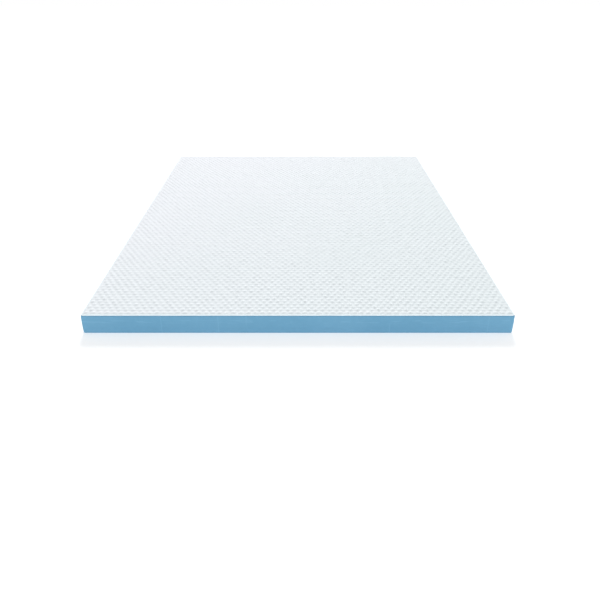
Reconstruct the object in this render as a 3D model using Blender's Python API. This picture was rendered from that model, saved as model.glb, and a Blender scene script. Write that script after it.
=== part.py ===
"""A queen-size mattress topper: a slab of blue foam with a white knit panel bonded over its top face.

Metres, +Z up. The origin is at the centre of the underside, +X runs across the bed and +Y along it, away from
the foot end. The slab rests on its flat underside. Its sides bow out a little and have shallow hollows, its edges
are softened, and the top swells by a few millimetres. The knit panel follows that top and its rim is rounded
over. Both are built on one plan: a grid of stations whose outer rows bend round the corners.
"""

from collections import namedtuple
from math import cos, pi, sin

import bmesh
import bpy

# Driving dimensions
WIDTH = 1.524
LENGTH = 2.032
FOAM_HEIGHT = 0.0700
PANEL_THICKNESS = 0.0050
SEAT_GAP = 0.0003
CORNER_RADIUS = 0.014

# The foam's sides, which bow out to the full width at mid height, and its softened edges
SIDE_BOW = 0.0014
BOTTOM_EDGE_RADIUS = 0.0040
TOP_EDGE_RADIUS = 0.0020

# The panel's rim stands back from the foam's top edge, and is rounded over
PANEL_INSET = 0.0006
RIM_RADIUS = 0.0040
HEM_RADIUS = 0.0006

# The plan's grid, the heights of the foam wall's rings as shares of its own, how much of the side's
# hollows reaches its edges, and the angle past which an edge is shaded sharp
CORNER_STEPS = 3
STATION_PITCH = 0.090
WALL_SHARES = (0.28, 0.5, 0.72)
EDGE_HOLLOW_SHARE = 0.35
SHARP_ANGLE = pi / 4

# Rises of the top: where each is, how far it reaches across and along the bed, and how high it stands
Swell = namedtuple("Swell", "across along reach_across reach_along rise")
TOP_SWELLS = (
    Swell(across=0.00, along=0.00, reach_across=0.90, reach_along=1.15, rise=0.0026),
    Swell(across=0.10, along=1.00, reach_across=0.16, reach_along=0.34, rise=0.0024),
    Swell(across=0.58, along=0.98, reach_across=0.22, reach_along=0.40, rise=0.0026),
    Swell(across=-0.30, along=0.92, reach_across=0.26, reach_along=0.32, rise=0.0010),
    Swell(across=-0.42, along=-0.30, reach_across=0.40, reach_along=0.45, rise=0.0012),
    Swell(across=0.36, along=-0.55, reach_across=0.34, reach_along=0.38, rise=-0.0010),
)

# Upright hollows in the sides: which side, where along it, half the hollow's width, and how deep it is
Hollow = namedtuple("Hollow", "side place reach depth")
SIDE_HOLLOWS = (
    Hollow(side="foot", place=-0.47, reach=0.13, depth=0.0016),
    Hollow(side="foot", place=-0.19, reach=0.12, depth=0.0012),
    Hollow(side="foot", place=0.08, reach=0.13, depth=0.0015),
    Hollow(side="foot", place=0.37, reach=0.14, depth=0.0012),
    Hollow(side="head", place=-0.35, reach=0.20, depth=0.0014),
    Hollow(side="head", place=0.30, reach=0.24, depth=0.0012),
    Hollow(side="left", place=-0.55, reach=0.22, depth=0.0014),
    Hollow(side="left", place=0.40, reach=0.26, depth=0.0016),
    Hollow(side="right", place=-0.20, reach=0.24, depth=0.0015),
    Hollow(side="right", place=0.60, reach=0.22, depth=0.0012),
)

# One ring of a wall: its height, how far it stands in from the outline, and its shares of the side's
# hollows and of the top's swell
Ring = namedtuple("Ring", "height inset hollow_share swell_share")

Finish = namedtuple("Finish", "name color roughness")
FOAM_BLUE = Finish("foam_blue", (0.155, 0.37, 0.56, 1.0), 0.9)
KNIT_WHITE = Finish("knit_white", (0.84, 0.87, 0.91, 1.0), 0.85)


def clear_scene():
    for old in list(bpy.data.objects):
        bpy.data.objects.remove(old, do_unlink=True)


def hill(distance, reach):
    """1 at the middle, falling smoothly to 0 at the reach."""
    share = min(abs(distance) / reach, 1.0)
    return 0.5 + 0.5 * cos(pi * share)


def swell(x, y):
    """How far the top stands above the slab's nominal height at a point of the plan."""
    return sum(
        s.rise * hill(x - s.across, s.reach_across) * hill(y - s.along, s.reach_along)
        for s in TOP_SWELLS
    )


def hollow_depth(x, y):
    """How deep the side's hollows are at a point of the outline."""
    gaps = {
        "foot": (LENGTH / 2 + y, x),
        "head": (LENGTH / 2 - y, x),
        "left": (WIDTH / 2 + x, y),
        "right": (WIDTH / 2 - x, y),
    }
    side = min(gaps, key=lambda name: gaps[name][0])
    along = gaps[side][1]
    return sum(h.depth * hill(along - h.place, h.reach) for h in SIDE_HOLLOWS if h.side == side)


def stations(half, radius):
    """Grid lines from one side to the other: a few across each corner, and even ones between."""
    corner = [radius * step / CORNER_STEPS for step in range(CORNER_STEPS)]
    straight = 2 * (half - radius)
    count = round(straight / STATION_PITCH)
    middle = [radius - half + straight * step / count for step in range(count + 1)]
    low = [inset - half for inset in corner]
    return low + middle + [-place for place in reversed(low)]


def on_plan(x, y, inset):
    """A grid point moved onto the plan, with the outline's corners round and the outer rows drawn in."""
    radius = CORNER_RADIUS
    core_x, core_y = WIDTH / 2 - radius, LENGTH / 2 - radius
    shrink = (radius - inset) / radius
    out_x = max(abs(x) - core_x, 0.0) / radius
    out_y = max(abs(y) - core_y, 0.0) / radius
    if out_x and out_y:
        reach = max(out_x, out_y)
        angle = pi / 4 * min(out_x, out_y) / reach
        along, aside = reach * cos(angle), reach * sin(angle)
        out_x, out_y = (along, aside) if out_x >= out_y else (aside, along)
    moved_x = min(abs(x), core_x) + out_x * radius * shrink
    moved_y = min(abs(y), core_y) + out_y * radius * shrink
    return (moved_x if x >= 0 else -moved_x), (moved_y if y >= 0 else -moved_y)


def outward(x, y):
    """The unit direction out of the outline at a point of the plan's edge."""
    core_x, core_y = WIDTH / 2 - CORNER_RADIUS, LENGTH / 2 - CORNER_RADIUS
    away_x = max(abs(x) - core_x, 0.0) * (1 if x >= 0 else -1)
    away_y = max(abs(y) - core_y, 0.0) * (1 if y >= 0 else -1)
    length = (away_x**2 + away_y**2) ** 0.5
    return away_x / length, away_y / length


def edge_rings(height, inset, radius, upper, swell_share):
    """Three rings round a softened edge at the given height, in the order they stand up the wall."""
    rings = [
        Ring(
            height + (sin(angle) - 1.0) * radius * (1 if upper else -1),
            inset + (1.0 - cos(angle)) * radius,
            EDGE_HOLLOW_SHARE,
            swell_share,
        )
        for angle in (0.0, pi / 4, pi / 2)
    ]
    return rings if upper else rings[::-1]


def foam_rings():
    """The slab's wall from its flat underside to its top face, bowed out at mid height."""
    bottom = edge_rings(0.0, SIDE_BOW, BOTTOM_EDGE_RADIUS, upper=False, swell_share=0.0)
    middle = [
        Ring(FOAM_HEIGHT * share, SIDE_BOW * (1.0 - sin(pi * share)), sin(pi * share), share)
        for share in WALL_SHARES
    ]
    top = edge_rings(FOAM_HEIGHT, SIDE_BOW, TOP_EDGE_RADIUS, upper=True, swell_share=1.0)
    return bottom + middle + top


def panel_rings():
    """The knit panel's edge, from its underside on the foam to its face, with the rim rounded over."""
    seat = FOAM_HEIGHT + SEAT_GAP
    inset = SIDE_BOW + PANEL_INSET
    hem = edge_rings(seat, inset, HEM_RADIUS, upper=False, swell_share=1.0)
    rim = edge_rings(seat + PANEL_THICKNESS, inset, RIM_RADIUS, upper=True, swell_share=1.0)
    return hem + rim


def perimeter(columns, rows):
    """The grid indices round its edge, anticlockwise from the near left corner."""
    near = [(i, 0) for i in range(columns)]
    right = [(columns - 1, j) for j in range(1, rows)]
    far = [(i, rows - 1) for i in range(columns - 2, -1, -1)]
    left = [(0, j) for j in range(rows - 2, 0, -1)]
    return near + right + far + left


def ring_point(x, y, ring):
    """A point of the outline at one ring of the wall."""
    edge_x, edge_y = on_plan(x, y, 0.0)
    normal_x, normal_y = outward(edge_x, edge_y)
    inset = ring.inset + hollow_depth(edge_x, edge_y) * ring.hollow_share
    height = ring.height + swell(edge_x, edge_y) * ring.swell_share
    return edge_x - normal_x * inset, edge_y - normal_y * inset, height


def grid_cap(mesh, edge, xs, ys, ring, up):
    """The face inside a wall's first or last ring, as a grid that follows the swell."""
    verts = {}
    for i, x in enumerate(xs):
        for j, y in enumerate(ys):
            if (i, j) in edge:
                verts[i, j] = edge[i, j]
            else:
                flat_x, flat_y = on_plan(x, y, ring.inset)
                height = ring.height + swell(flat_x, flat_y) * ring.swell_share
                verts[i, j] = mesh.verts.new((flat_x, flat_y, height))
    for i in range(len(xs) - 1):
        for j in range(len(ys) - 1):
            start, right, across, far = verts[i, j], verts[i + 1, j], verts[i + 1, j + 1], verts[i, j + 1]
            mesh.faces.new((start, right, across, far) if up else (start, far, across, right))


def walled_slab(name, rings, flat_base, finish):
    """A closed slab: rings joined into its wall, a grid over its top, and a flat or a grid base."""
    xs = stations(WIDTH / 2, CORNER_RADIUS)
    ys = stations(LENGTH / 2, CORNER_RADIUS)
    keys = perimeter(len(xs), len(ys))
    mesh = bmesh.new()
    loops = []
    for ring in rings:
        loops.append([mesh.verts.new(ring_point(xs[i], ys[j], ring)) for i, j in keys])
    for lower, upper in zip(loops, loops[1:]):
        for k in range(len(keys)):
            after = (k + 1) % len(keys)
            mesh.faces.new((lower[k], lower[after], upper[after], upper[k]))
    grid_cap(mesh, dict(zip(keys, loops[-1])), xs, ys, rings[-1], up=True)
    if flat_base:
        mesh.faces.new(loops[0][::-1])
    else:
        grid_cap(mesh, dict(zip(keys, loops[0])), xs, ys, rings[0], up=False)
    data = bpy.data.meshes.new(name)
    mesh.to_mesh(data)
    mesh.free()
    data.shade_smooth()
    data.set_sharp_from_angle(angle=SHARP_ANGLE)
    data.materials.append(material_of(finish))
    slab = bpy.data.objects.new(name, data)
    bpy.context.scene.collection.objects.link(slab)
    return slab


def material_of(finish):
    material = bpy.data.materials.new(finish.name)
    material.use_nodes = True
    shader = material.node_tree.nodes["Principled BSDF"]
    shader.inputs["Base Color"].default_value = finish.color
    shader.inputs["Roughness"].default_value = finish.roughness
    shader.inputs["Metallic"].default_value = 0.0
    return material


def main():
    clear_scene()
    walled_slab("foam_slab", foam_rings(), flat_base=True, finish=FOAM_BLUE)
    walled_slab("knit_panel", panel_rings(), flat_base=False, finish=KNIT_WHITE)


main()
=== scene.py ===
"""Dresses a mattress topper: a slab of blue foam under a white panel of puffed knit.

The file is laid out as an add-on and is run as a script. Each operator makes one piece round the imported
solids, and the sidebar panel lists them. Sizes are in metres. The knit's puffs are one relief, which the
panel's geometry nodes raise and its material reads again for the fine edges of the grooves.
"""

from collections import namedtuple
from math import cos, pi, radians, sin, tan

import bmesh
import bpy
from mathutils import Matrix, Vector
from mathutils.bvhtree import BVHTree
from mathutils.geometry import delaunay_2d_cdt


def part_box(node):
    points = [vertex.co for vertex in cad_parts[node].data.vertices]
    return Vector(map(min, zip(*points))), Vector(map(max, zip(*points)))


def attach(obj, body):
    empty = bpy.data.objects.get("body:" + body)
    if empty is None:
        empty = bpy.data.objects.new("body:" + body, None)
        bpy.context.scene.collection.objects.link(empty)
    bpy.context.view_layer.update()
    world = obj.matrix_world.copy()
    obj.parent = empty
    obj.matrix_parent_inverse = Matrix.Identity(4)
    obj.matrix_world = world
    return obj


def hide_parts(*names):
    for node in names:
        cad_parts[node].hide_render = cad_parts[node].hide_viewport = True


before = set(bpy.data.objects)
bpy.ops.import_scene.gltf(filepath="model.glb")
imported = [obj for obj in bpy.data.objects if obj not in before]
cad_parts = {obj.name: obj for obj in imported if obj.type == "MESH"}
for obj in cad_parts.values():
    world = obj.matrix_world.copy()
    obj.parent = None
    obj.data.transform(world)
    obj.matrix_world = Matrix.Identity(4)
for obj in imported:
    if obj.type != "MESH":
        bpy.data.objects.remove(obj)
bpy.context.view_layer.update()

bl_info = {
    "name": "Foam Mattress Topper",
    "version": (1, 0, 0),
    "blender": (4, 5, 0),
    "location": "3D View > Sidebar > Topper",
    "description": "Makes a foam mattress topper with a puffed-knit top",
    "category": "Object",
}

SLAB_LOW, SLAB_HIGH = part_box("foam_slab")
PANEL_LOW, PANEL_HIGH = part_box("knit_panel")
SLAB_SIZE = SLAB_HIGH - SLAB_LOW
PANEL_SIZE = PANEL_HIGH - PANEL_LOW

# Rays that measure the solids start this far off them. The top is measured this far in from its outline, past
# the softened edges, and within this reach of a corner the sides have no hollows.
RAY_REACH = 0.5
EDGE_CLEAR = 0.020
UP = Vector((0.0, 0.0, 1.0))

# Where the solids are measured at a corner, which the top's swells hardly reach
CORNER_X = SLAB_LOW.x + EDGE_CLEAR
CORNER_Y = SLAB_LOW.y + EDGE_CLEAR

# The slab's steps: round a corner seen from above, round a softened edge, and up the whole height of its side
CORNER_STEPS = 8
EDGE_STEPS = 5
WALL_STEPS = 10

# The hidden caps between the slab and the panel: the distance between their inner points, and from the edge.
# They are filled with triangles inside their outline only, and points closer than the last length are merged.
INNER_PITCH = 0.05
INNER_MARGIN = 0.03
INSIDE_ONLY = 1
MERGE_DISTANCE = 1e-7

# How many grid steps a puff has across the bed and a row has along it, and how often the height of the packed
# solid under them is averaged, so that its facets don't show
STEPS_ACROSS = 5
STEPS_ALONG = 3
SMOOTHING_STEPS = 24

# Where the rim's turn has its rings, as angles from the flat top, and the least length that is divided by
RIM_ANGLES = (radians(42.0), radians(90.0))
NEAR_ZERO = 1e-6

# The rows are counted from half a row before the foot edge, so that the first puffs stand whole on the panel
FIRST_ROW = 0.5

# The lowest that the wave of puffs goes, for row shares from a half to one, and its mean over a whole puff at
# the default fullness, so that the relief stands as much over the cloth as under it
WAVE_LOW = -1.5
MEAN_PUFF = 0.39

# The noise that makes the knit uneven, per metre: one value for about each puff, the slow drift of the rows,
# and the seed of both
PUFF_NOISE = 34.0
DRIFT_NOISE = 6.0
KNIT_SEED = 7

# The yarn's colour grows lighter along the bed and towards its left, partly as a tint and partly as painted
# light. The two shares of the place add up to a distance, a slow noise moves that by up to the stray, and it
# counts as far as the reach to both sides of 0.
TINT_AND_LIGHT_ALONG = 0.5
TINT_AND_LIGHT_ACROSS = 0.85
TINT_AND_LIGHT_NOISE = 2.2
TINT_AND_LIGHT_STRAY = 0.3
TINT_AND_LIGHT_REACH = 1.15

# The knit's grooves and stitches: how far the pits go towards the groove's colour, which is painted shade,
# how much of the puffs' height the bump adds and how much of that a stitch has, a course's height in stitch
# widths, and how far the wales push it aside, as an angle
GROOVE_SHADE_SHARE = 0.3
BUMP_SHARE = 0.6
STITCH_RELIEF = 0.04
COURSE_HEIGHT = 0.8
COURSE_WAVE = 0.9

# How rough the yarn is, and how much the stitches change that
KNIT_ROUGHNESS = 0.86
STITCH_ROUGHNESS = 0.05

# A pattern in the foam's colour, made of noise: how often it changes in a metre along the side and up it, how
# fine its detail is, the noise at which it starts to show and shows whole, and how much it lightens the foam.
# The bars are painted light, lighter where the sides' slight undulations would face the light, the dashes are
# painted highlights, and the mottle is the foam's own uneven tone.
Pattern = namedtuple("Pattern", "along up detail start whole lighter")
LIT_BARS = Pattern(along=3.6, up=0.4, detail=1.0, start=0.40, whole=0.66, lighter=0.35)
MOTTLE = Pattern(along=55.0, up=55.0, detail=3.0, start=0.30, whole=0.72, lighter=0.20)
HIGHLIGHT_DASHES = Pattern(along=22.0, up=190.0, detail=0.0, start=0.57, whole=0.68, lighter=0.8)

# The foam's height where its top has no swell, and the band that its painted highlight dashes lie in: the
# middle, and how far from it they are whole and are gone
FOAM_HEIGHT = 0.0700
HIGHLIGHT_DASH_LEVEL = 0.047
HIGHLIGHT_DASH_WHOLE = 0.002
HIGHLIGHT_DASH_GONE = 0.010

# The painted shade along the foam's edges, a thin band under the top edge and one along the bottom edge: how
# high each is, how much they show, and the shaded foam's share of the foam's colour. The pores get painted
# shade too: how much it shows, and how far from a cell's middle they are whole and are gone, in cells.
TOP_SHADE_HEIGHT = 0.0028
BOTTOM_SHADE_HEIGHT = 0.0040
EDGE_SHADE_SHARE = 0.30
SHADED_FOAM = 0.72
PORE_SHADE_SHARE = 0.16
PORE_WHOLE = 0.10
PORE_GONE = 0.42

# The foam's relief: how deep the pores are, and the mottle's and the creases' shares of that
PORE_DEPTH = 0.0005
MOTTLE_RELIEF = 0.8
CREASE_RELIEF = 0.6

# How rough the foam is, and how much less rough it is between its pores
FOAM_ROUGHNESS = 0.94
SMOOTH_SHARE = 0.08

# The sockets of a Mix node that blends colours
MIX_FACTOR, MIX_FIRST, MIX_SECOND, MIX_RESULT = 0, 6, 7, 2

# The slab's edge as seen in section, from the underside up: the share of the slab's height, how far the ring
# stands in from the outline, and how much of the side's hollows it has
WallRing = namedtuple("WallRing", "share inset hollow_share")

# One turn of the knit panel's rim: how far out of the flat top it goes, and how far down
RimTurn = namedtuple("RimTurn", "out down")

# Thin upright creases in the slab's foot side: the place across the bed, half the width, the heights between
# which the crease shows, and how strong it is among them
Crease = namedtuple("Crease", "across half_width low high strength")
SIDE_CREASES = (
    Crease(across=-0.481, half_width=0.0022, low=0.000, high=FOAM_HEIGHT, strength=0.55),
    Crease(across=-0.280, half_width=0.0026, low=0.002, high=FOAM_HEIGHT, strength=0.90),
    Crease(across=-0.181, half_width=0.0022, low=0.034, high=FOAM_HEIGHT, strength=0.60),
    Crease(across=0.324, half_width=0.0024, low=0.000, high=0.036, strength=0.50),
    Crease(across=0.671, half_width=0.0024, low=0.004, high=0.068, strength=0.60),
)

# How much painted highlight lightens the foam along the creases, how far to both sides of their ends they
# fade, and how far in from the foot end they are whole and are gone, so that the other sides have none
CREASE_HIGHLIGHT = 2.0
CREASE_FADE = 0.004
CREASE_WHOLE = 0.008
CREASE_GONE = 0.020

# The floor's white, and where the sky turns from its low to its overhead brightness, as the upward share of a
# direction
FLOOR_WHITE = 0.90
SKY_TURN_START = 0.36
SKY_TURN_END = 0.50


class Link:
    """An output socket. Arithmetic on it adds Math nodes to its tree."""

    def __init__(self, graph, socket):
        self.graph = graph
        self.socket = socket

    def math(self, operation, *values):
        return self.graph.add("ShaderNodeMath", {"operation": operation}, dict(enumerate(values)))

    def __add__(self, other):
        return self.math("ADD", self, other)

    def __radd__(self, other):
        return self.math("ADD", other, self)

    def __sub__(self, other):
        return self.math("SUBTRACT", self, other)

    def __rsub__(self, other):
        return self.math("SUBTRACT", other, self)

    def __mul__(self, other):
        return self.math("MULTIPLY", self, other)

    def __rmul__(self, other):
        return self.math("MULTIPLY", other, self)

    def __truediv__(self, other):
        return self.math("DIVIDE", self, other)

    def __pow__(self, other):
        return self.math("POWER", self, other)

    def __abs__(self):
        return self.math("ABSOLUTE", self)


class Graph:
    """A node tree, and the one way in which nodes are added to it."""

    def __init__(self, tree):
        self.tree = tree

    def add(self, kind, settings=None, inputs=None, output=0):
        """Adds a node from its type, its settings, and the values or links of its sockets."""
        node = self.tree.nodes.new(kind)
        for name, value in (settings or {}).items():
            setattr(node, name, value)
        for key, value in (inputs or {}).items():
            if isinstance(value, Link):
                self.tree.links.new(value.socket, node.inputs[key])
            else:
                node.inputs[key].default_value = value
        if isinstance(output, tuple):
            return tuple(Link(self, node.outputs[name]) for name in output)
        return Link(self, node.outputs[output])

    def parts(self, vector):
        return self.add("ShaderNodeSeparateXYZ", inputs={"Vector": vector}, output=("X", "Y", "Z"))

    def vector(self, x, y, z):
        return self.add("ShaderNodeCombineXYZ", inputs={"X": x, "Y": y, "Z": z})

    def ramp(self, value, start, end):
        """Goes smoothly from 0 to 1 as the value goes from start to end."""
        inputs = {"Value": value, "From Min": start, "From Max": end}
        return self.add("ShaderNodeMapRange", {"interpolation_type": "SMOOTHSTEP"}, inputs)

    def noise(self, vector, detail):
        return self.add("ShaderNodeTexNoise", inputs={"Vector": vector, "Scale": 1.0, "Detail": detail})

    def chance(self, vector, scale, seed):
        """Noise on both sides of zero, with a pattern of its own for each seed."""
        inputs = {"Vector": vector, "W": seed, "Scale": scale, "Detail": 0.0}
        return self.add("ShaderNodeTexNoise", {"noise_dimensions": "4D"}, inputs) * 2.0 - 1.0

    def blend(self, factor, first, second):
        """A colour on the way from the first to the second."""
        inputs = {MIX_FACTOR: factor, MIX_FIRST: first, MIX_SECOND: second}
        return self.add("ShaderNodeMix", {"data_type": "RGBA"}, inputs, output=MIX_RESULT)


def smaller(first, second):
    return first.math("MINIMUM", first, second)


def larger(first, second):
    return first.math("MAXIMUM", first, second)


def sine(angle):
    return angle.math("SINE", angle)


def cosine(angle):
    return angle.math("COSINE", angle)


def opaque(color):
    return (*color, 1.0)


def puff_wave(across, along, row_share):
    """The even knit from 0 in the pits to 1 on the puffs, from places counted in puffs and in rows.

    Every other row of puffs is half a puff further across. row_share is how far each row also stands out by
    itself.
    """
    wave = 2.0 * cosine(2 * pi * across) * cosine(pi * along) + row_share * cosine(2 * pi * along)
    return larger((wave - WAVE_LOW) / (row_share + (2.0 - WAVE_LOW)), 0.0)


def puff_relief(graph, x, y, knit):
    """The knit's relief at a place on the panel's face, and a mask that is 0 on its plain edge and 1 inside.

    The relief goes from 0 in the pits to about 1 on the puffs. knit holds the inputs of the knit's tree:
    sockets in the tree itself, and numbers in the material.
    """
    width = knit["Width"] - 2.0 * knit["Rim Radius"]
    length = knit["Length"] - 2.0 * knit["Rim Radius"]
    place = graph.vector(x, y, 0.0)
    seed = knit["Seed"]
    drift_across = knit["Drift"] * graph.chance(place, DRIFT_NOISE, seed + 1.0)
    drift_along = knit["Drift"] * graph.chance(place, DRIFT_NOISE, seed + 2.0)
    across = (x / width + 0.5) * knit["Puffs Across"] + drift_across
    along = (y / length + 0.5) * knit["Puffs Along"] + drift_along
    uneven = 1.0 + knit["Unevenness"] * graph.chance(place, PUFF_NOISE, seed)
    mask = graph.ramp(smaller(width / 2.0 - abs(x), length / 2.0 - abs(y)), 0.0, knit["Plain Edge"])
    puffs = puff_wave(across, along + FIRST_ROW, knit["Row Share"]) ** knit["Fullness"]
    return puffs * uneven * mask, mask


class FoamSettings(bpy.types.PropertyGroup):
    """Sizes and colours of the foam slab."""

    side_bow: bpy.props.FloatProperty(
        name="Side Bow", description="How far the sides bow out at mid height", default=0.0008, unit="LENGTH"
    )
    corner_radius: bpy.props.FloatProperty(
        name="Corner Radius",
        description="Radius of the corners seen from above",
        default=0.008,
        unit="LENGTH",
    )
    bottom_radius: bpy.props.FloatProperty(
        name="Bottom Edge", description="Radius of the softened bottom edge", default=0.002, unit="LENGTH"
    )
    top_radius: bpy.props.FloatProperty(
        name="Top Edge", description="Radius of the softened top edge", default=0.002, unit="LENGTH"
    )
    side_pitch: bpy.props.FloatProperty(
        name="Side Pitch", description="Distance between points along the sides", default=0.016, unit="LENGTH"
    )
    color: bpy.props.FloatVectorProperty(
        name="Foam",
        description="The foam's colour",
        default=(0.136, 0.325, 0.484),
        size=3,
        subtype="COLOR",
    )
    # Painted light: the bars, the dashes and the creases go towards this lighter colour, and so does the
    # mottle, which is the foam's own tone.
    lit_and_tone_color: bpy.props.FloatVectorProperty(
        name="Light Foam",
        description="The foam's colour in its soft bars and along its creases",
        default=(0.168, 0.366, 0.530),
        size=3,
        subtype="COLOR",
    )
    pore_size: bpy.props.FloatProperty(
        name="Pore Size", description="Width of the foam's open cells", default=0.0015, unit="LENGTH"
    )


class KnitSettings(bpy.types.PropertyGroup):
    """Sizes and colours of the knit panel."""

    puffs_across: bpy.props.IntProperty(
        name="Puffs Across", description="Puffs in one row across the bed", default=61, min=1
    )
    puffs_along: bpy.props.IntProperty(
        name="Rows Along", description="Rows of puffs along the bed", default=101, min=1
    )
    puff_height: bpy.props.FloatProperty(
        name="Puff Height", description="Height of a puff over the pits", default=0.0029, unit="LENGTH"
    )
    fullness: bpy.props.FloatProperty(
        name="Fullness", description="Below 1, the puffs are full and their grooves narrow", default=0.85
    )
    row_share: bpy.props.FloatProperty(
        name="Row Share", description="How far each row stands out by itself", default=0.88
    )
    unevenness: bpy.props.FloatProperty(
        name="Unevenness", description="How much the puffs differ in height", default=0.60
    )
    drift: bpy.props.FloatProperty(
        name="Drift", description="How far the puffs stray from even rows, in puffs", default=0.15
    )
    plain_edge: bpy.props.FloatProperty(
        name="Plain Edge",
        description="Width over which the puffs fade at the rim",
        default=0.004,
        unit="LENGTH",
    )
    rim_radius: bpy.props.FloatProperty(
        name="Rim Radius", description="Radius of the rim's turn", default=0.004, unit="LENGTH"
    )
    hem_radius: bpy.props.FloatProperty(
        name="Hem Radius", description="Softening of the rim's lower edge", default=0.0006, unit="LENGTH"
    )
    stitch_size: bpy.props.FloatProperty(
        name="Stitch Size", description="Width of one knit stitch", default=0.0018, unit="LENGTH"
    )
    # Painted light and tint: the yarn goes from this darker, greener colour at the right of the foot end to
    # the lighter one below at the left of the head end.
    color: bpy.props.FloatVectorProperty(
        name="Yarn",
        description="The yarn's colour where it is greenest, towards the right of the foot end",
        default=(0.764, 0.826, 0.844),
        size=3,
        subtype="COLOR",
    )
    lit_and_tone_color: bpy.props.FloatVectorProperty(
        name="Light Yarn",
        description="The yarn's colour where it is lightest, towards the left of the head end",
        default=(0.850, 0.869, 0.914),
        size=3,
        subtype="COLOR",
    )
    # Painted shade: the pits between the puffs go towards this darker colour.
    groove_shade_color: bpy.props.FloatVectorProperty(
        name="Groove",
        description="The colour that the pits go towards",
        default=(0.748, 0.788, 0.818),
        size=3,
        subtype="COLOR",
    )
    # Painted highlight: the plain rim is lighter and bluer than the yarn, standing in for the light on it
    # from the front.
    rim_color: bpy.props.FloatVectorProperty(
        name="Rim",
        description="The yarn's colour on the plain rim",
        default=(0.880, 0.965, 0.995),
        size=3,
        subtype="COLOR",
    )


class StageSettings(bpy.types.PropertyGroup):
    """The camera, the floor and the light."""

    camera_place: bpy.props.FloatVectorProperty(
        name="Camera",
        description="Place of the camera",
        default=(0.0079, -2.8360, 1.1341),
        size=3,
        subtype="TRANSLATION",
    )
    camera_pitch: bpy.props.FloatProperty(
        name="Pitch", description="How far the camera looks down", default=radians(28.78), subtype="ANGLE"
    )
    camera_lens: bpy.props.FloatProperty(
        name="Lens",
        description="Focal length in millimetres",
        default=36.19,
    )
    floor_size: bpy.props.FloatProperty(
        name="Floor", description="Width of the floor", default=40.0, unit="LENGTH"
    )
    floor_glow: bpy.props.FloatProperty(
        name="Floor Glow",
        description="Light that the floor gives off, as a lit white sweep does",
        default=0.40,
    )
    back_light: bpy.props.FloatProperty(
        name="Back Light",
        description="Strength of the light from behind, which shades the puffs",
        default=3.1,
    )
    back_distance: bpy.props.FloatProperty(
        name="Back Light Distance",
        description="Nearer, it lights the head end more",
        default=46.0,
        unit="LENGTH",
    )
    back_height: bpy.props.FloatProperty(
        name="Back Light Height",
        description="Its angle over the floor",
        default=radians(30.0),
        subtype="ANGLE",
    )
    front_light: bpy.props.FloatProperty(
        name="Front Light", description="Strength of the low light on the foot side and the rim", default=0.88
    )
    front_color: bpy.props.FloatVectorProperty(
        name="Front Light Colour",
        description="A little cooler than the light from behind",
        default=(0.90, 0.97, 1.0),
        size=3,
        subtype="COLOR",
    )
    front_distance: bpy.props.FloatProperty(
        name="Front Light Distance", description="How far in front it is", default=30.0, unit="LENGTH"
    )
    front_height: bpy.props.FloatProperty(
        name="Front Light Height",
        description="Its angle over the floor",
        default=radians(10.0),
        subtype="ANGLE",
    )
    light_width: bpy.props.FloatProperty(
        name="Light Width",
        description="How wide and so how soft a light is",
        default=radians(30.0),
        subtype="ANGLE",
    )
    sky_low: bpy.props.FloatProperty(
        name="Low Sky", description="Brightness of the sky near the horizon", default=1.0
    )
    sky_overhead: bpy.props.FloatProperty(
        name="High Sky", description="Brightness of the sky overhead", default=0.44
    )


def solid_surface(node):
    """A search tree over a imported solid."""
    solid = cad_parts[node].data
    return BVHTree.FromPolygons([v.co for v in solid.vertices], [p.vertices for p in solid.polygons])


def top_height(surface, x, y):
    """The solid's height over a place on its top face."""
    return surface.ray_cast(Vector((x, y, RAY_REACH)), -UP)[0].z


def corner_height(surface):
    """The slab's height at a corner."""
    return top_height(surface, CORNER_X, CORNER_Y)


def panel_gap(surface):
    """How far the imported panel's underside stands over the slab, at a corner."""
    below = Vector((CORNER_X, CORNER_Y, -RAY_REACH))
    underside = solid_surface("knit_panel").ray_cast(below, UP)[0].z
    return underside - corner_height(surface)


def hollow_depth(surface, point, outward, height):
    """How far the solid's side stands in from a point of the outline at the given height."""
    if SLAB_HIGH.x - abs(point.x) < EDGE_CLEAR and SLAB_HIGH.y - abs(point.y) < EDGE_CLEAR:
        return 0.0
    level = Vector((point.x, point.y, height))
    hit = surface.ray_cast(level + outward * RAY_REACH, -outward)[0]
    return max((level - hit).dot(outward), 0.0)


def outline(width, length, radius, pitch):
    """Points round a rectangle with round corners, anticlockwise, each with its outward direction."""
    core_x, core_y = width / 2 - radius, length / 2 - radius
    signs = ((1, -1), (1, 1), (-1, 1), (-1, -1))
    centres = [Vector((core_x * right, core_y * far, 0.0)) for right, far in signs]
    stations = []
    for corner, centre in enumerate(centres):
        for step in range(CORNER_STEPS + 1):
            angle = pi / 2 * (corner - 1 + step / CORNER_STEPS)
            outward = Vector((cos(angle), sin(angle), 0.0))
            stations.append((centre + outward * radius, outward))
        start, end = stations[-1][0], centres[(corner + 1) % len(centres)] + outward * radius
        count = round((end - start).length / pitch)
        stations += [(start.lerp(end, k / count), outward) for k in range(1, count)]
    return stations


def slab_wall(foam, height):
    """The rings of the slab's wall: a softened bottom edge, the bowed side, and a softened top edge."""

    def ring(level, turned_in):
        share = level / height
        bulge = sin(pi * share)
        return WallRing(share, foam.side_bow * (1.0 - bulge) + turned_in, bulge)

    low, high = foam.bottom_radius, foam.top_radius
    edge_angles = [pi / 2 * k / EDGE_STEPS for k in range(EDGE_STEPS + 1)]
    bottom = [ring(low * (1.0 - sin(angle)), low * (1.0 - cos(angle))) for angle in reversed(edge_angles)]
    side = [ring(height * k / WALL_STEPS, 0.0) for k in range(1, WALL_STEPS)]
    top = [ring(height - high * (1.0 - sin(angle)), high * (1.0 - cos(angle))) for angle in edge_angles]
    return bottom + side + top


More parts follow.
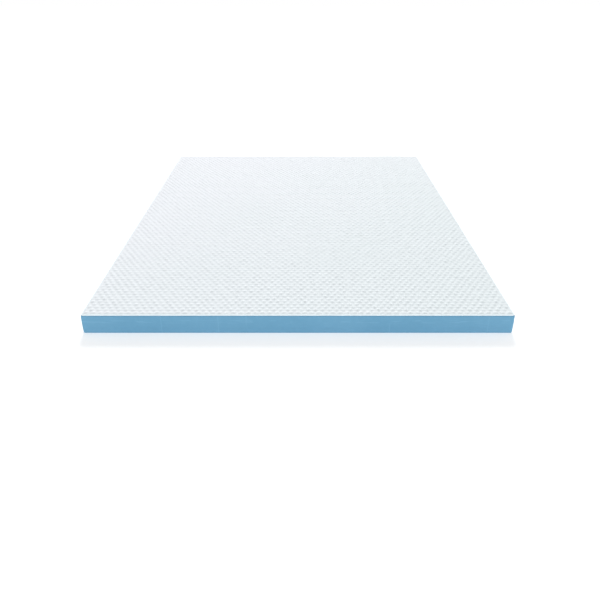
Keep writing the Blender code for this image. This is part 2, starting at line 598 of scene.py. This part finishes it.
def fill(mesh, ring, inner):
    """Fills a closed ring of vertices with triangles, through the inner vertices too."""
    verts = ring + inner
    ends = [(k, (k + 1) % len(ring)) for k in range(len(ring))]
    places = [v.co.xy for v in verts]
    _, _, triangles, origins, _, _ = delaunay_2d_cdt(places, ends, [], INSIDE_ONLY, MERGE_DISTANCE)
    source = [verts[origin[0]] for origin in origins]
    for triangle in triangles:
        mesh.faces.new([source[k] for k in triangle])


def inner_places():
    """An even grid of places inside the slab's outline, which the hidden caps of both pieces share."""
    width, length = (size - 2 * INNER_MARGIN for size in SLAB_SIZE.xy)
    across, along = round(width / INNER_PITCH), round(length / INNER_PITCH)
    return [
        ((i / across - 0.5) * width, (j / along - 0.5) * length)
        for i in range(across + 1)
        for j in range(along + 1)
    ]


def finished(name, data, material, node):
    """Links a piece made of a finished mesh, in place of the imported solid's node."""
    piece = bpy.data.objects.new(name, data)
    bpy.context.scene.collection.objects.link(piece)
    data.materials.clear()
    data.materials.append(material)
    data.shade_smooth()
    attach(piece, "root")
    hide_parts(node)
    return piece


def new_material(name):
    material = bpy.data.materials.new(name)
    material.use_nodes = True
    return material, Graph(material.node_tree), material.node_tree.nodes["Principled BSDF"]


def foam_pattern(graph, place, pattern):
    """How much a pattern shows at a place in the foam, from 0 to 1. The place is its x, y and z."""
    x, y, z = place
    stretched = graph.vector(x * pattern.along, y * pattern.along, z * pattern.up)
    return graph.ramp(graph.noise(stretched, pattern.detail), pattern.start, pattern.whole)


def foam_creases(graph, place):
    """The creases of the foot side: 0 beside them, and each one's strength in its middle."""
    x, y, z = place
    creases = 0.0
    for crease in SIDE_CREASES:
        line = graph.ramp(abs(x - crease.across), crease.half_width, 0.0)
        above = graph.ramp(z, crease.low - CREASE_FADE, crease.low + CREASE_FADE)
        below = graph.ramp(z, crease.high + CREASE_FADE, crease.high - CREASE_FADE)
        creases = line * above * below * crease.strength + creases
    return creases * graph.ramp(y, SLAB_LOW.y + CREASE_GONE, SLAB_LOW.y + CREASE_WHOLE)


def foam_material(foam):
    """Matte open-cell foam with a mottled tone, painted light in soft upright bars, short dashes and thin
    creases, and painted shade along its edges and in its pores.
    """
    material, graph, shader = new_material("cut_blue_foam")
    position = graph.add("ShaderNodeTexCoord", output="Object")
    place = graph.parts(position)
    height = place[2]
    # Painted light: the bars, the dashes and the creases lighten the foam where light would catch them, and
    # the mottle is the foam's own uneven tone.
    lit_bars = foam_pattern(graph, place, LIT_BARS)
    mottle = foam_pattern(graph, place, MOTTLE)
    highlight_dashes = foam_pattern(graph, place, HIGHLIGHT_DASHES) * graph.ramp(abs(height - HIGHLIGHT_DASH_LEVEL), HIGHLIGHT_DASH_GONE, HIGHLIGHT_DASH_WHOLE)
    creases = foam_creases(graph, place)
    painted_light_and_mottle = lit_bars * LIT_BARS.lighter + mottle * MOTTLE.lighter + highlight_dashes * HIGHLIGHT_DASHES.lighter
    lighter = painted_light_and_mottle + creases * CREASE_HIGHLIGHT
    color = graph.blend(lighter, opaque(foam.color), opaque(foam.lit_and_tone_color))
    cells = graph.add(
        "ShaderNodeTexVoronoi",
        {"feature": "F1"},
        {"Vector": position, "Scale": 1.0 / foam.pore_size},
        output="Distance",
    )
    walls = graph.ramp(cells, PORE_WHOLE, PORE_GONE)
    # Painted shade: the foam darkens under its top edge, along its bottom edge and in its pores.
    edge_shade = graph.ramp(height, FOAM_HEIGHT - TOP_SHADE_HEIGHT, FOAM_HEIGHT) + graph.ramp(height, BOTTOM_SHADE_HEIGHT, 0.0)
    painted_shade = edge_shade * EDGE_SHADE_SHARE + (1.0 - walls) * PORE_SHADE_SHARE
    color = graph.blend(painted_shade, color, opaque([SHADED_FOAM * c for c in foam.color]))
    relief = walls + mottle * MOTTLE_RELIEF - creases * CREASE_RELIEF
    bump = graph.add("ShaderNodeBump", inputs={"Strength": 0.5, "Distance": PORE_DEPTH, "Height": relief})
    graph.tree.links.new(color.socket, shader.inputs["Base Color"])
    graph.tree.links.new(bump.socket, shader.inputs["Normal"])
    graph.tree.links.new((FOAM_ROUGHNESS - walls * SMOOTH_SHARE).socket, shader.inputs["Roughness"])
    shader.inputs["Specular IOR Level"].default_value = 0.25
    return material


def make_foam(foam):
    """The foam slab: bowed, hollowed sides with softened edges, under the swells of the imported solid."""
    surface = solid_surface("foam_slab")
    stations = outline(SLAB_SIZE.x, SLAB_SIZE.y, foam.corner_radius, foam.side_pitch)
    height = corner_height(surface)
    measured = []
    for point, outward in stations:
        inside = point - outward * EDGE_CLEAR
        hollow = hollow_depth(surface, point, outward, height / 2)
        measured.append((point, outward, top_height(surface, inside.x, inside.y), hollow))
    mesh = bmesh.new()
    loops = []
    for share, inset, hollow_share in slab_wall(foam, height):
        loop = []
        for point, outward, top, hollow in measured:
            edge = point - outward * (inset + hollow * hollow_share)
            loop.append(mesh.verts.new((edge.x, edge.y, share * top)))
        loops.append(loop)
    for lower, upper in zip(loops, loops[1:]):
        for k in range(len(lower)):
            after = (k + 1) % len(lower)
            mesh.faces.new((lower[k], lower[after], upper[after], upper[k]))
    places = inner_places()
    fill(mesh, loops[-1], [mesh.verts.new((x, y, top_height(surface, x, y))) for x, y in places])
    fill(mesh, loops[0], [mesh.verts.new((x, y, 0.0)) for x, y in places])
    bmesh.ops.recalc_face_normals(mesh, faces=mesh.faces)
    data = bpy.data.meshes.new("blue_foam")
    mesh.to_mesh(data)
    mesh.free()
    piece = finished("blue_foam", data, foam_material(foam), "foam_slab")
    return piece


KNIT_INPUTS = (
    ("Bed", "NodeSocketObject"),
    ("Width", "NodeSocketFloat"),
    ("Length", "NodeSocketFloat"),
    ("Corner Radius", "NodeSocketFloat"),
    ("Rise", "NodeSocketFloat"),
    ("Rim Radius", "NodeSocketFloat"),
    ("Puffs Across", "NodeSocketInt"),
    ("Puffs Along", "NodeSocketInt"),
    ("Puff Height", "NodeSocketFloat"),
    ("Fullness", "NodeSocketFloat"),
    ("Row Share", "NodeSocketFloat"),
    ("Unevenness", "NodeSocketFloat"),
    ("Drift", "NodeSocketFloat"),
    ("Plain Edge", "NodeSocketFloat"),
    ("Seed", "NodeSocketInt"),
    ("Material", "NodeSocketMaterial"),
)


def rounded_corner(graph, x, y, core_x, core_y):
    """Moves a grid's square corners onto round ones: the places of its points, on the corner's own rings."""
    out_x = larger(abs(x) - core_x, 0.0)
    out_y = larger(abs(y) - core_y, 0.0)
    reach = larger(out_x, out_y)
    angle = smaller(out_x, out_y) / larger(reach, NEAR_ZERO) * (pi / 4)
    along = reach * cosine(angle)
    aside = reach * sine(angle)
    x_leads = out_x.math("GREATER_THAN", out_x, out_y)
    round_x = smaller(abs(x), core_x) + aside + (along - aside) * x_leads
    round_y = smaller(abs(y), core_y) + along + (aside - along) * x_leads
    return round_x * x.math("SIGN", x), round_y * y.math("SIGN", y)


def knit_tree(turns):
    """The knit panel's nodes: a grid that follows the bed, raised into puffs, with its rim turned down."""
    tree = bpy.data.node_groups.new("puffed_knit", "GeometryNodeTree")
    tree.is_modifier = True
    tree.interface.new_socket("Geometry", in_out="INPUT", socket_type="NodeSocketGeometry")
    for name, kind in KNIT_INPUTS:
        tree.interface.new_socket(name, in_out="INPUT", socket_type=kind)
    tree.interface.new_socket("Geometry", in_out="OUTPUT", socket_type="NodeSocketGeometry")
    graph = Graph(tree)
    names = tuple(name for name, _ in KNIT_INPUTS)
    given = dict(zip(names, graph.add("NodeGroupInput", output=names)))

    width = given["Width"] - 2.0 * given["Rim Radius"]
    length = given["Length"] - 2.0 * given["Rim Radius"]
    cloth = graph.add(
        "GeometryNodeMeshGrid",
        inputs={
            "Size X": width,
            "Size Y": length,
            "Vertices X": given["Puffs Across"] * STEPS_ACROSS + 1.0,
            "Vertices Y": given["Puffs Along"] * STEPS_ALONG + 1.0,
        },
        output="Mesh",
    )
    x, y, _ = graph.parts(graph.add("GeometryNodeInputPosition"))
    puffs, mask = puff_relief(graph, x, y, given)
    relief = (puffs - MEAN_PUFF * mask) * given["Puff Height"]

    core_x = width / 2.0 - given["Corner Radius"]
    core_y = length / 2.0 - given["Corner Radius"]
    round_x, round_y = rounded_corner(graph, x, y, core_x, core_y)
    bed = graph.add("GeometryNodeObjectInfo", inputs={"Object": given["Bed"]}, output="Geometry")
    lies_on = graph.add(
        "GeometryNodeRaycast",
        inputs={
            "Target Geometry": bed,
            "Source Position": graph.vector(round_x, round_y, RAY_REACH),
            "Ray Direction": (0.0, 0.0, -1.0),
            "Ray Length": 2 * RAY_REACH,
        },
        output="Hit Position",
    )
    bed_height = graph.add(
        "GeometryNodeBlurAttribute",
        {"data_type": "FLOAT"},
        {"Value": graph.parts(lies_on)[2], "Iterations": SMOOTHING_STEPS},
    )
    raised = graph.vector(round_x, round_y, bed_height + given["Rise"] + relief)
    cloth = graph.add("GeometryNodeSetPosition", inputs={"Geometry": cloth, "Position": raised})

    edge_faces = graph.add("GeometryNodeInputMeshEdgeNeighbors")
    on_edge = graph.add(
        "FunctionNodeCompare", {"data_type": "INT", "operation": "EQUAL"}, {2: edge_faces, 3: 1}
    )
    away_x = x - x.math("SIGN", x) * smaller(abs(x), core_x)
    away_y = y - y.math("SIGN", y) * smaller(abs(y), core_y)
    away = graph.vector(away_x, away_y, 0.0)
    outward = graph.add("ShaderNodeVectorMath", {"operation": "NORMALIZE"}, {0: away})
    out_x, out_y, _ = graph.parts(outward)
    for before, after in zip([RimTurn(0.0, 0.0), *turns], turns):
        cloth, fresh = graph.add(
            "GeometryNodeExtrudeMesh",
            {"mode": "EDGES"},
            {"Mesh": cloth, "Selection": on_edge, "Offset Scale": 0.0},
            output=("Mesh", "Top"),
        )
        step_out, step_down = after.out - before.out, after.down - before.down
        cloth = graph.add(
            "GeometryNodeSetPosition",
            inputs={
                "Geometry": cloth,
                "Selection": fresh,
                "Offset": graph.vector(out_x * step_out, out_y * step_out, -step_down),
            },
        )
    cloth = graph.add("GeometryNodeRealizeInstances", inputs={"Geometry": cloth})
    cloth = graph.add("GeometryNodeSetMaterial", inputs={"Geometry": cloth, "Material": given["Material"]})
    graph.add("NodeGroupOutput", inputs={"Geometry": cloth}, output=())
    return tree


def grown(tree, values):
    """The plain mesh that a tree of geometry nodes makes from the given inputs."""
    helper = bpy.data.objects.new("helper", bpy.data.meshes.new("helper"))
    bpy.context.scene.collection.objects.link(helper)
    modifier = helper.modifiers.new("nodes", "NODES")
    modifier.node_group = tree
    for item in tree.interface.items_tree:
        if item.name in values:
            modifier[item.identifier] = values[item.name]
    bpy.context.view_layer.update()
    ready = helper.evaluated_get(bpy.context.evaluated_depsgraph_get())
    data = bpy.data.meshes.new_from_object(ready)
    helper.modifiers.clear()
    bpy.data.objects.remove(helper, do_unlink=True)
    if not data.polygons:
        raise RuntimeError("the geometry nodes made no faces")
    return data


def knit_material(knit, sizes):
    """White knit: small stitches all over, painted shade in the grooves between the puffs, a painted
    highlight on the plain rim, and a yarn colour that is partly tint and partly painted light.
    """
    material, graph, shader = new_material("white_puffed_knit")
    place = graph.add("ShaderNodeTexCoord", output="Object")
    x, y, _ = graph.parts(place)
    puffs, mask = puff_relief(graph, x, y, sizes)
    wales = sine(x * (2 * pi / knit.stitch_size))
    courses = sine(y * (2 * pi / (COURSE_HEIGHT * knit.stitch_size)) + wales * COURSE_WAVE)
    stitches = wales * 0.5 + courses * 0.5
    # Painted light and tint: the yarn is lighter towards the head end and the left.
    slant = y * TINT_AND_LIGHT_ALONG - x * TINT_AND_LIGHT_ACROSS + graph.chance(place, TINT_AND_LIGHT_NOISE, 0.0) * TINT_AND_LIGHT_STRAY
    tint_and_light = graph.ramp(slant, -TINT_AND_LIGHT_REACH, TINT_AND_LIGHT_REACH)
    yarn = graph.blend(tint_and_light, opaque(knit.color), opaque(knit.lit_and_tone_color))
    # Painted shade: the pits go towards the darker groove colour.
    color = graph.blend((1.0 - puffs) * GROOVE_SHADE_SHARE, yarn, opaque(knit.groove_shade_color))
    # Painted highlight: the plain rim takes its own lighter, bluer colour.
    color = graph.blend(mask, opaque(knit.rim_color), color)
    relief = puffs + stitches * STITCH_RELIEF
    bump = graph.add(
        "ShaderNodeBump",
        inputs={"Strength": 1.0, "Distance": knit.puff_height * BUMP_SHARE, "Height": relief},
    )
    graph.tree.links.new(color.socket, shader.inputs["Base Color"])
    graph.tree.links.new(bump.socket, shader.inputs["Normal"])
    graph.tree.links.new((KNIT_ROUGHNESS + stitches * STITCH_ROUGHNESS).socket, shader.inputs["Roughness"])
    shader.inputs["Specular IOR Level"].default_value = 0.2
    shader.inputs["Sheen Weight"].default_value = 0.20
    shader.inputs["Sheen Roughness"].default_value = 0.5
    return material


def open_edge(mesh):
    """The vertices round a mesh's one open edge, in order."""
    edge = next(edge for edge in mesh.edges if edge.is_boundary)
    ring, vert = [edge.verts[0]], edge.verts[1]
    while vert != ring[0]:
        ring.append(vert)
        edge = next(other for other in vert.link_edges if other.is_boundary and other != edge)
        vert = edge.other_vert(vert)
    return ring


def make_knit(knit, foam):
    """The knit panel: puffs over its whole face, and a plain rim turned down over the slab's edge."""
    surface = solid_surface("foam_slab")
    rise = PANEL_HIGH.z - SLAB_HIGH.z
    seat = panel_gap(surface)
    thickness = rise - seat
    inset = (SLAB_SIZE.x - PANEL_SIZE.x) / 2
    turns = [
        RimTurn(knit.rim_radius * sin(angle), knit.rim_radius * (1.0 - cos(angle)))
        for angle in RIM_ANGLES
    ]
    turns.append(RimTurn(knit.rim_radius - knit.hem_radius, thickness))
    sizes = {
        "Bed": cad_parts["foam_slab"],
        "Width": PANEL_SIZE.x,
        "Length": PANEL_SIZE.y,
        "Corner Radius": foam.corner_radius - inset - knit.rim_radius,
        "Rise": rise,
        "Rim Radius": knit.rim_radius,
        "Puffs Across": knit.puffs_across,
        "Puffs Along": knit.puffs_along,
        "Puff Height": knit.puff_height,
        "Fullness": knit.fullness,
        "Row Share": knit.row_share,
        "Unevenness": knit.unevenness,
        "Drift": knit.drift,
        "Plain Edge": knit.plain_edge,
        "Seed": KNIT_SEED,
    }
    material = knit_material(knit, sizes)
    data = grown(knit_tree(turns), {**sizes, "Material": material})
    mesh = bmesh.new()
    mesh.from_mesh(data)
    hem = open_edge(mesh)
    fill(mesh, hem, [mesh.verts.new((x, y, top_height(surface, x, y) + seat)) for x, y in inner_places()])
    bmesh.ops.recalc_face_normals(mesh, faces=mesh.faces)
    mesh.to_mesh(data)
    mesh.free()
    piece = finished("puffed_knit", data, material, "knit_panel")
    return piece


def round_lamp(name, strength, color, distance, height, width):
    """A far round lamp, behind the bed or, at a negative distance, in front of it. It is aimed at the bed."""
    lamp = bpy.data.objects.new(name, bpy.data.lights.new(name, "AREA"))
    bpy.context.scene.collection.objects.link(lamp)
    lamp.data.shape = "DISK"
    lamp.data.size = 2 * abs(distance) * tan(width / 2)
    lamp.data.energy = strength * pi * distance**2
    lamp.data.color = color
    lamp.location = (0.0, distance * cos(height), abs(distance) * sin(height))
    lamp.rotation_euler = (-lamp.location).to_track_quat("-Z", "Y").to_euler()


def make_stage(stage):
    """The camera at the photo's angle, a plain white floor, and soft light from behind and all round."""
    camera = bpy.data.objects.new("camera", bpy.data.cameras.new("camera"))
    bpy.context.scene.collection.objects.link(camera)
    camera.location = stage.camera_place
    camera.rotation_euler = (pi / 2 - stage.camera_pitch, 0.0, 0.0)
    camera.data.lens = stage.camera_lens
    camera.data.clip_end = 2 * stage.floor_size
    bpy.context.scene.camera = camera

    half = stage.floor_size / 2
    corners = [(-half, -half, 0), (half, -half, 0), (half, half, 0), (-half, half, 0)]
    mesh = bpy.data.meshes.new("floor")
    mesh.from_pydata(corners, [], [(0, 1, 2, 3)])
    floor = bpy.data.objects.new("floor", mesh)
    bpy.context.scene.collection.objects.link(floor)
    material, _, shader = new_material("white_floor")
    shader.inputs["Base Color"].default_value = opaque([FLOOR_WHITE] * 3)
    shader.inputs["Roughness"].default_value = 1.0
    shader.inputs["Specular IOR Level"].default_value = 0.0
    shader.inputs["Emission Color"].default_value = (1.0, 1.0, 1.0, 1.0)
    shader.inputs["Emission Strength"].default_value = stage.floor_glow
    mesh.materials.append(material)

    world = bpy.data.worlds.new("studio")
    world.use_nodes = True
    bpy.context.scene.world = world
    graph = Graph(world.node_tree)
    direction = graph.add("ShaderNodeTexCoord", output="Generated")
    upward = graph.parts(direction)[2]
    overhead = graph.ramp(upward, SKY_TURN_START, SKY_TURN_END)
    light = graph.blend(overhead, opaque([stage.sky_low] * 3), opaque([stage.sky_overhead] * 3))
    world.node_tree.links.new(light.socket, world.node_tree.nodes["Background"].inputs["Color"])

    white, width = (1.0, 1.0, 1.0), stage.light_width
    round_lamp("back_light", stage.back_light, white, stage.back_distance, stage.back_height, width)
    round_lamp(
        "front_light", stage.front_light, stage.front_color, -stage.front_distance, stage.front_height, width
    )

    bpy.context.scene.view_settings.view_transform = "Standard"


class TOPPER_OT_foam_slab(bpy.types.Operator):
    """Make the foam slab"""

    bl_idname = "topper.foam_slab"
    bl_label = "Foam Slab"

    def execute(self, context):
        make_foam(context.scene.topper_foam)
        return {"FINISHED"}


class TOPPER_OT_knit_panel(bpy.types.Operator):
    """Make the puffed-knit panel over the slab"""

    bl_idname = "topper.knit_panel"
    bl_label = "Knit Panel"

    def execute(self, context):
        make_knit(context.scene.topper_knit, context.scene.topper_foam)
        return {"FINISHED"}


class TOPPER_OT_stage(bpy.types.Operator):
    """Make the camera, the floor and the lights"""

    bl_idname = "topper.stage"
    bl_label = "Stage"

    def execute(self, context):
        make_stage(context.scene.topper_stage)
        return {"FINISHED"}


class TOPPER_PT_pieces(bpy.types.Panel):
    """Lists the topper's pieces in the sidebar"""

    bl_idname = "TOPPER_PT_pieces"
    bl_label = "Mattress Topper"
    bl_space_type = "VIEW_3D"
    bl_region_type = "UI"
    bl_category = "Topper"

    def draw(self, context):
        for operator, settings in (
            (TOPPER_OT_foam_slab, context.scene.topper_foam),
            (TOPPER_OT_knit_panel, context.scene.topper_knit),
            (TOPPER_OT_stage, context.scene.topper_stage),
        ):
            column = self.layout.box().column()
            column.operator(operator.bl_idname)
            for name in settings.__annotations__:
                column.prop(settings, name)


CLASSES = (
    FoamSettings,
    KnitSettings,
    StageSettings,
    TOPPER_OT_foam_slab,
    TOPPER_OT_knit_panel,
    TOPPER_OT_stage,
    TOPPER_PT_pieces,
)


def register():
    for cls in CLASSES:
        bpy.utils.register_class(cls)
    bpy.types.Scene.topper_foam = bpy.props.PointerProperty(type=FoamSettings)
    bpy.types.Scene.topper_knit = bpy.props.PointerProperty(type=KnitSettings)
    bpy.types.Scene.topper_stage = bpy.props.PointerProperty(type=StageSettings)


def unregister():
    del bpy.types.Scene.topper_stage
    del bpy.types.Scene.topper_knit
    del bpy.types.Scene.topper_foam
    for cls in reversed(CLASSES):
        bpy.utils.unregister_class(cls)


def main():
    register()
    bpy.ops.topper.foam_slab()
    bpy.ops.topper.knit_panel()
    bpy.ops.topper.stage()


if __name__ == "__main__":
    main()
